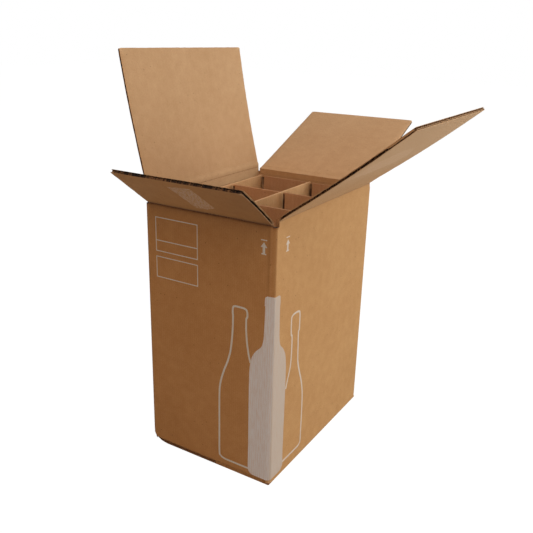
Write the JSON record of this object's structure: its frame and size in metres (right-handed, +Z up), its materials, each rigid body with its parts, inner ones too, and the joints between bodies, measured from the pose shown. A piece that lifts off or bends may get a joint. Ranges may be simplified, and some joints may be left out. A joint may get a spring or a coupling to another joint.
{
  "type": "bottle shipping box",
  "caption": "Upright corrugated shipping box for bottles, with crossed divider strips inside and hinged top flaps standing open",
  "frame": {"origin": "centre of the base, on the surface that the box stands on", "axes": "+Z up; X runs across the short sides, from the left long side (-X) to the right one (+X); Y runs along the long sides, from the front short side (-Y) to the back one (+Y)"},
  "size_m": [0.4125, 0.5411, 0.5752],
  "materials": {
    "body_board": "matt",
    "insert_board": "matt"
  },
  "bodies": {
    "root": {"box_body": "body_board", "divider_long_left": "insert_board", "divider_long_middle": "insert_board", "divider_long_right": "insert_board", "divider_cross_front": "insert_board", "divider_cross_front_middle": "insert_board", "divider_cross_back_middle": "insert_board", "divider_cross_back": "insert_board"},
    "front_flap": {"flap_front": "body_board"},
    "back_flap": {"flap_back": "body_board"},
    "left_flap": {"flap_left": "body_board"},
    "right_flap": {"flap_right": "body_board"}
  },
  "joints": [
    {"name": "flap_front_crease", "type": "hinge", "parent": "root", "child": "front_flap", "pos_m": [0, -0.145, 0.3774], "axis": [-1, 0, 0], "range_deg": [-117, 143]},
    {"name": "flap_back_crease", "type": "hinge", "parent": "root", "child": "back_flap", "pos_m": [0, 0.145, 0.3774], "axis": [1, 0, 0], "range_deg": [-103.5, 156.5]},
    {"name": "flap_left_crease", "type": "hinge", "parent": "root", "child": "left_flap", "pos_m": [-0.1045, 0, 0.387], "axis": [0, 1, 0], "range_deg": [-157.1, 102.9]},
    {"name": "flap_right_crease", "type": "hinge", "parent": "root", "child": "right_flap", "pos_m": [0.1045, 0, 0.3822], "axis": [0, -1, 0], "range_deg": [-117.7, 142.3]}
  ]
}
